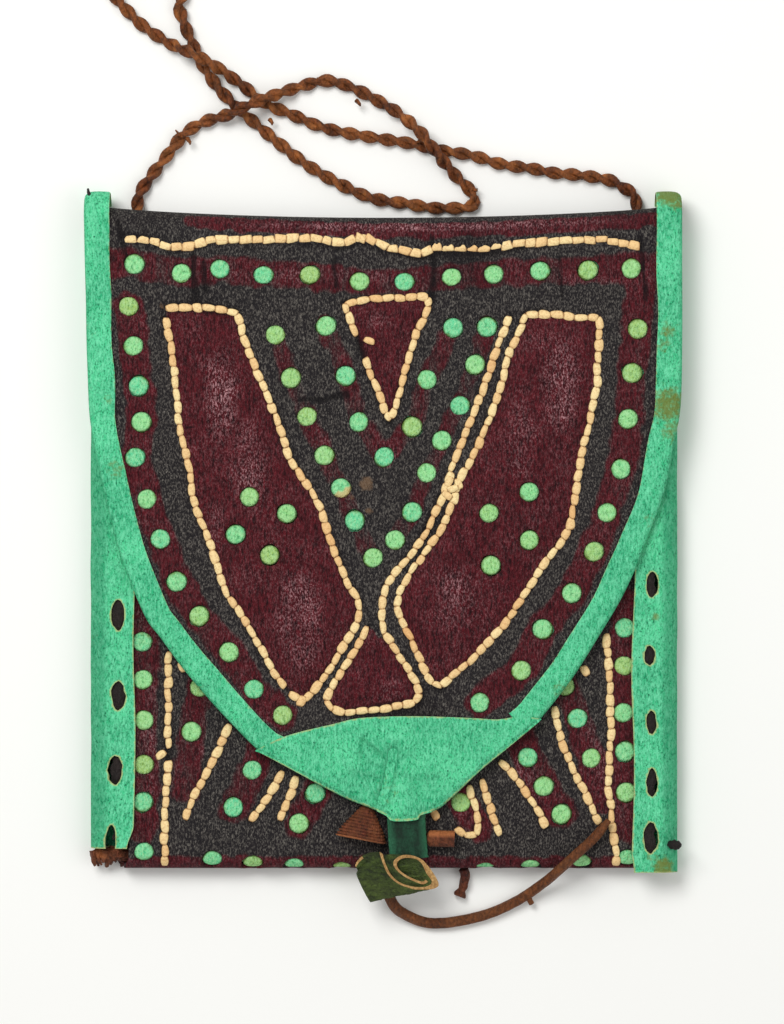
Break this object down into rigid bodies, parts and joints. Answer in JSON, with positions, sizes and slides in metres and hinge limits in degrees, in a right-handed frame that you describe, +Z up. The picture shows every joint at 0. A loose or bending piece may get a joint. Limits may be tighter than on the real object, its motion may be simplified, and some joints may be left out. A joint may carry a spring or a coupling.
{
  "type": "leather pouch",
  "caption": "Flat leather pouch with a rounded punched flap, green bindings, stitched leaf ornament, roll closure and twisted shoulder cord.",
  "frame": {"origin": "middle of the back panel's outer face, on which the pouch lies", "axes": "+Z up, from the back to the flap; +Y towards the pouch's top fold; +X to the right, seen from above"},
  "size_m": [0.1528, 0.2805, 0.0156],
  "materials": {
    "panel_leather": "dyed maroon and black, fine grain, low sheen",
    "green_leather": "dyed mint green, matt, worn pale at the edges",
    "olive_leather": "dark green, ridged, with raw tan edges",
    "tan_strip": "split undyed strip, cream to orange tan",
    "black_thong": "black, matt",
    "brown_leather": "dark brown, ribbed",
    "cord_leather": "brown twisted thong, slightly polished"
  },
  "bodies": {
    "pouch": {"pouch_shell": "panel_leather", "front_lining": "green_leather", "side_band_left": "green_leather", "side_band_right": "green_leather", "side_lace_left": "black_thong", "side_lace_right": "black_thong", "corner_tuft": "brown_leather", "front_stitch_left_edge": "tan_strip", "front_stitch_left_leaf": "tan_strip", "front_stitch_left_inner": "tan_strip", "front_stitch_left_short": "tan_strip", "front_stitch_right_leaf": "tan_strip", "front_stitch_right_edge": "tan_strip", "front_stitch_right_inner": "tan_strip", "front_stitch_right_short": "tan_strip", "front_stitch_hook": "tan_strip", "toggle_cone": "brown_leather", "toggle_tail": "brown_leather", "toggle_thong": "brown_leather", "shoulder_cord_left": "cord_leather", "shoulder_cord_right": "cord_leather", "cord_coil": "cord_leather", "stopper_knot_left": "cord_leather", "stopper_knot_right": "cord_leather"},
    "flap": {"flap": "panel_leather", "flap_lining": "green_leather", "flap_binding_left": "green_leather", "flap_binding_right": "green_leather", "tip_patch": "green_leather", "closure_strap": "olive_leather", "strap_roll": "olive_leather", "closure_thong": "brown_leather", "stitch_top": "tan_strip", "stitch_left_leaf": "tan_strip", "stitch_right_leaf": "tan_strip", "stitch_keystone": "tan_strip", "stitch_triangle": "tan_strip"}
  },
  "joints": [
    {"name": "flap_hinge", "type": "hinge", "parent": "pouch", "child": "flap", "pos_m": [0, 0.08075, 0.0058], "axis": [-1, 0, 0], "range_deg": [0, 135]}
  ]
}
